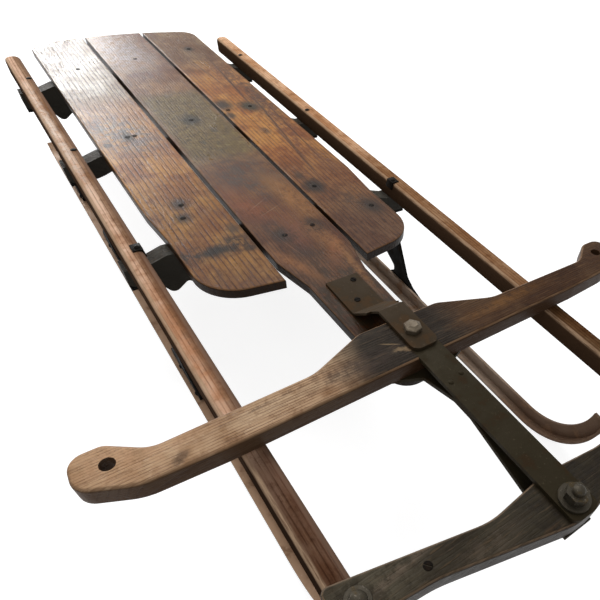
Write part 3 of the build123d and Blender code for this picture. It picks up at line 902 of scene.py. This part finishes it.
def slot_screw(radius):
    """A flat screw head with a cut slot."""
    height = radius * 0.3
    half = radius * 0.15
    part = disc(radius, height, soft=0.4)
    for offset in (half, -half):
        cut(part, (0, offset, 0), (0, 1, 0))
    crown = [f for f in part.faces if f.normal.z > 0.9 and abs(f.calc_center_median().y) < half / 2]
    crown = [f for f in crown if f.calc_center_median().z > height * 0.9]
    draw_out(part, crown, (0, 0, -height * 0.7))
    drop_faces(part, crown)
    return part


def dome(radius, height, sides=18):
    """A rivet or nail head: the upper half of a flattened ball."""
    part = bmesh.new()
    bmesh.ops.create_uvsphere(part, u_segments=sides, v_segments=12, radius=1)
    cut(part, (0, 0, 0), (0, 0, 1), clear=True)
    bmesh.ops.contextual_create(part, geom=[e for e in part.edges if e.is_boundary])
    bmesh.ops.scale(part, verts=part.verts[:], vec=(radius, radius, height))
    return part


def worn_head(radius, height, sides=6):
    """A forged bolt head with hammered corners and a raised crown."""
    part = disc(radius, height * 0.75, sides, soft=0.35)
    upright = [e for e in part.edges if climbs(e, height * 0.4)]
    soften(part, upright, radius * 0.14)
    crown = max(part.faces, key=lambda f: f.calc_center_median().z)
    bmesh.ops.inset_region(part, faces=[crown], thickness=radius * 0.28, depth=height * 0.25)
    return part


def shank(radius, bottom, top):
    """The round body of a bolt."""
    part = disc(radius, top - bottom, 16, soft=0.02)
    bmesh.ops.translate(part, verts=part.verts[:], vec=(0, 0, bottom))
    return part


def rail_clip():
    """A short hammered iron strap folded over the inner edge of a rail."""
    length = 14 * MM
    width = 11 * MM
    thick = 2.2 * MM
    drop = 8 * MM
    splay = 1.5 * MM
    fold_y = width / 2 - thick
    part = bmesh.new()
    bmesh.ops.create_cube(part, size=1, matrix=Matrix.Diagonal((length, width, thick, 1)))
    cut(part, (0, fold_y, 0), (0, 1, 0))
    lip = [f for f in part.faces if f.normal.z < -0.9 and f.calc_center_median().y > fold_y]
    draw_out(part, lip, (0, splay, -drop))
    drop_faces(part, lip)
    soften(part, corners(part), 0.7 * MM)
    return part


def group(name, parts, material, body):
    """Join small parts into one named piece on a body."""
    bm = bmesh.new()
    for part, place in parts:
        set_in(bm, part, place)
    piece = finish_piece(name, bm, material, body)
    return piece


def screw_group(name, rows, radius, level, body):
    """Slot screws on one level, from rows of x, y and the turn of the slot."""
    screws = [(slot_screw(radius), at(x, y, level, turn)) for x, y, turn in rows]
    group(name, screws, screw_iron, body)


deck_screws = [
    (-0.183, -0.098, 15),
    (-0.183, -0.0885, 70),
    (0.014, -0.096, 30),
    (0.042, -0.104, 100),
    (-0.445, -0.095, 55),
    (-0.463, 0.000, 10),
    (-0.203, -0.001, 80),
    (0.123, 0.024, 25),
    (0.127, -0.015, 140),
    (-0.484, 0.101, 35),
    (-0.218, 0.099, 95),
    (-0.216, 0.062, 5),
    (0.043, 0.071, 60),
    (0.117, 0.114, 120),
]
plate_screws = [(0.241, 0.010, 20), (0.272, -0.004, 75)]
front_bar_screws = [(0.550, -0.1217, 40), (0.550, 0.1217, 110)]
strap_rivets = [(0.428, 0.007), (0.432, -0.008)]
plate_thick = 3 * MM
screw_r = 3.4 * MM
front_screw_r = 3.6 * MM

screw_group("deck_screws", deck_screws, screw_r, deck_top - 0.7 * MM, "frame")
screw_group("plate_screws", plate_screws, screw_r, deck_top + plate_thick - 0.2 * MM, "frame")

rivets = [(dome(2.6 * MM, 1.2 * MM), at(x, y, bar_top)) for x, y in strap_rivets]
group("strap_rivets", rivets, strap_iron, "steering")

nails = []
for side in (1, -1):
    nail_y = side * (rail_y - 5 * MM)
    for name, lead in (("rear", 18 * MM), ("middle", 17 * MM)):
        nail_place = at(bench_x[name] + lead, nail_y, rail_top - 0.3 * MM)
        nails.append((dome(4 * MM, 1.4 * MM), nail_place))
group("rail_nails", nails, screw_iron, "frame")

clips = []
for side in (1, -1):
    clip_y = side * (rail_y - 6 * MM)
    clip_z = rail_top + 0.4 * MM
    clips.append((rail_clip(), at(bench_x["front"] + 9 * MM, clip_y, clip_z, 180 if side > 0 else 0)))
    rivet_place = at(bench_x["front"] + 10 * MM, clip_y - side * MM, clip_z + 0.9 * MM)
    clips.append((dome(3.2 * MM, 1.8 * MM), rivet_place))
group("rail_clips", clips, screw_iron, "frame")

rivet_y = middle("runner_left").y + 7 * MM
rivets = []
for name in bench_names:
    for side, word in ((1, "left"), (-1, "right")):
        toe_x = span(f"knee_{name}_{word}", 0)[1]
        for back_off in (10 * MM, 62 * MM):
            rivet_place = at(toe_x - back_off, side * rivet_y, 9 * MM, tilt=-90 * side)
            rivets.append((dome(3.2 * MM, 2 * MM), rivet_place))
group("knee_rivets", rivets, knee_iron, "frame")

pivot_low = span("pivot_bolt", 2)[0]
pivot_parts = [
    (shank(5 * MM, pivot_low, plate_top + 1 * MM), at(pivot_x, 0, 0)),
    (worn_head(9.4 * MM, 7 * MM), at(pivot_x, 0, plate_top - 0.2 * MM, 12)),
]
worn_pivot = group("pivot_bolt_worn", pivot_parts, worn_iron, "frame")
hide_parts("pivot_bolt")

washer_thick = 1.4 * MM
lap = 0.1 * MM  # each part of a bolt is let into the one below by this much
for side, word in ((1, "left"), (-1, "right")):
    low_z = span("end_bolt_" + word, 2)[0]
    bolt_y = side * end_y
    bolt_parts = [
        (shank(4 * MM, low_z + 1 * MM, front_top + 1 * MM), at(end_x, bolt_y, 0)),
        (disc(9.6 * MM, washer_thick, 28, 0.4), at(end_x, bolt_y, front_top - lap)),
        (dome(6.6 * MM, 3.4 * MM), at(end_x, bolt_y, front_top + washer_thick - 2 * lap)),
        (disc(8.5 * MM, 4 * MM, 6, 0.2), at(end_x, bolt_y, low_z, 15)),
    ]
    bolt = group("end_bolt_worn_" + word, bolt_parts, bolt_iron, "front")
    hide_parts("end_bolt_" + word)

screw_group("front_bar_screws", front_bar_screws, front_screw_r, front_top - 0.5 * MM, "front")

tip_z = span("centre_bolt", 2)[1]
tip_parts = [(dome(5 * MM, 2.6 * MM), at(bolt_x, 0, tip_z - lap))]
group("centre_bolt_tip", tip_parts, bolt_iron, "front")


# Camera: the photo's viewing angle, with the crop of the photo as a shift

view_azimuth = math.radians(45.94)
view_height = math.radians(49.47)
view_roll = math.radians(9.64)
eye = Vector((0.63157, -0.23221, 0.52173))
focal_px = 511.33
centre_px = (424.0, 388.79)
image_px = 600
sensor_mm = 36
flat = math.cos(view_height)
back = Vector((math.sin(view_azimuth) * flat, -math.cos(view_azimuth) * flat, math.sin(view_height)))
level = Vector((0, 0, 1)).cross(back).normalized()
upright = back.cross(level)
right = math.cos(view_roll) * level + math.sin(view_roll) * upright
up = -math.sin(view_roll) * level + math.cos(view_roll) * upright
camera_data = bpy.data.cameras.new("camera")
camera_data.sensor_width = sensor_mm
camera_data.lens = focal_px * sensor_mm / image_px
camera_data.shift_x = (image_px / 2 - centre_px[0]) / image_px
camera_data.shift_y = (centre_px[1] - image_px / 2) / image_px
camera_data.clip_start = 0.01
camera = bpy.data.objects.new("camera", camera_data)
camera.matrix_world = Matrix.Translation(eye) @ Matrix((right, up, back)).transposed().to_4x4()
bpy.context.scene.collection.objects.link(camera)
bpy.context.scene.camera = camera


# Floor and light

FLOOR_HALF = 40
FLOOR_LEVEL = -1 * MM
ROOM_LIGHT = 0.28
lamp_target = Vector((0, 0, 0.1))


def is_seen_directly(tree):
    """1 for what is seen straight, in a reflection or through glass, and 0 for light on the object."""
    path = add(tree, "LightPath").outputs
    seen = {0: path["Is Camera Ray"], 1: path["Is Glossy Ray"]}
    seen = add(tree, "Math", seen, operation="ADD").outputs[0]
    links = {0: seen, 1: path["Is Transmission Ray"]}
    return add(tree, "Math", links, operation="ADD", use_clamp=True).outputs[0]


# A matt floor: it holds the sled's shadow near it and goes to plain white further out
floor_white, tree, shader = new_surface("studio_floor")
distance = add(tree, "VectorMath", {0: add(tree, "TexCoord").outputs["Object"]}, operation="LENGTH")
glow = mask_between(tree, distance.outputs["Value"], 0.7, 2.2, 0.85, 1.0)
glow = times(tree, is_seen_directly(tree), glow)
wire(tree, shader, {"Base Color": paint("A8A8A8"), "Roughness": 0.9, "Specular IOR Level": 0.0})
wire(tree, shader, {"Emission Color": paint("FFFFFF"), "Emission Strength": glow})
# The floor lets the eye through from below, so that the sled's underside can be seen
clear = add(tree, "BsdfTransparent").outputs[0]
below = add(tree, "NewGeometry").outputs["Backfacing"]
both_faces = add(tree, "MixShader", {0: below, 1: shader.outputs[0], 2: clear})
tree.links.new(both_faces.outputs[0], tree.nodes["Material Output"].inputs["Surface"])
bm = bmesh.new()
floor_place = Matrix.Translation((0, 0, FLOOR_LEVEL))
bmesh.ops.create_grid(bm, x_segments=1, y_segments=1, size=FLOOR_HALF, matrix=floor_place)
floor = finish_piece("floor", bm, floor_white, smooth=False)

world = bpy.data.worlds.new("studio")
world.use_nodes = True
bpy.context.scene.world = world
tree = world.node_tree
strength = mask_between(tree, is_seen_directly(tree), 0, 1, ROOM_LIGHT, 1.0)
wire(tree, tree.nodes["Background"], {"Color": (1, 1, 1, 1), "Strength": strength})

lamps = [
    # name, place, width, height, power in watts
    ("top_light", (-0.9, 0.5, 1.9), 1.7, 1.7, 34),
    ("window_light", (-2.7, -0.04, 0.70), 0.72, 0.45, 35),
    ("fill_light", (1.2, -1.0, 1.8), 1.4, 1.4, 6),
]
for name, place, wide, high, power in lamps:
    lamp = bpy.data.lights.new(name, "AREA")
    lamp.shape = "RECTANGLE"
    lamp.size = wide
    lamp.size_y = high
    lamp.energy = power
    holder = bpy.data.objects.new(name, lamp)
    holder.location = place
    aim = lamp_target - Vector(place)
    holder.rotation_euler = aim.to_track_quat("-Z", "Y").to_euler()
    bpy.context.scene.collection.objects.link(holder)

bpy.context.scene.view_settings.view_transform = "Standard"
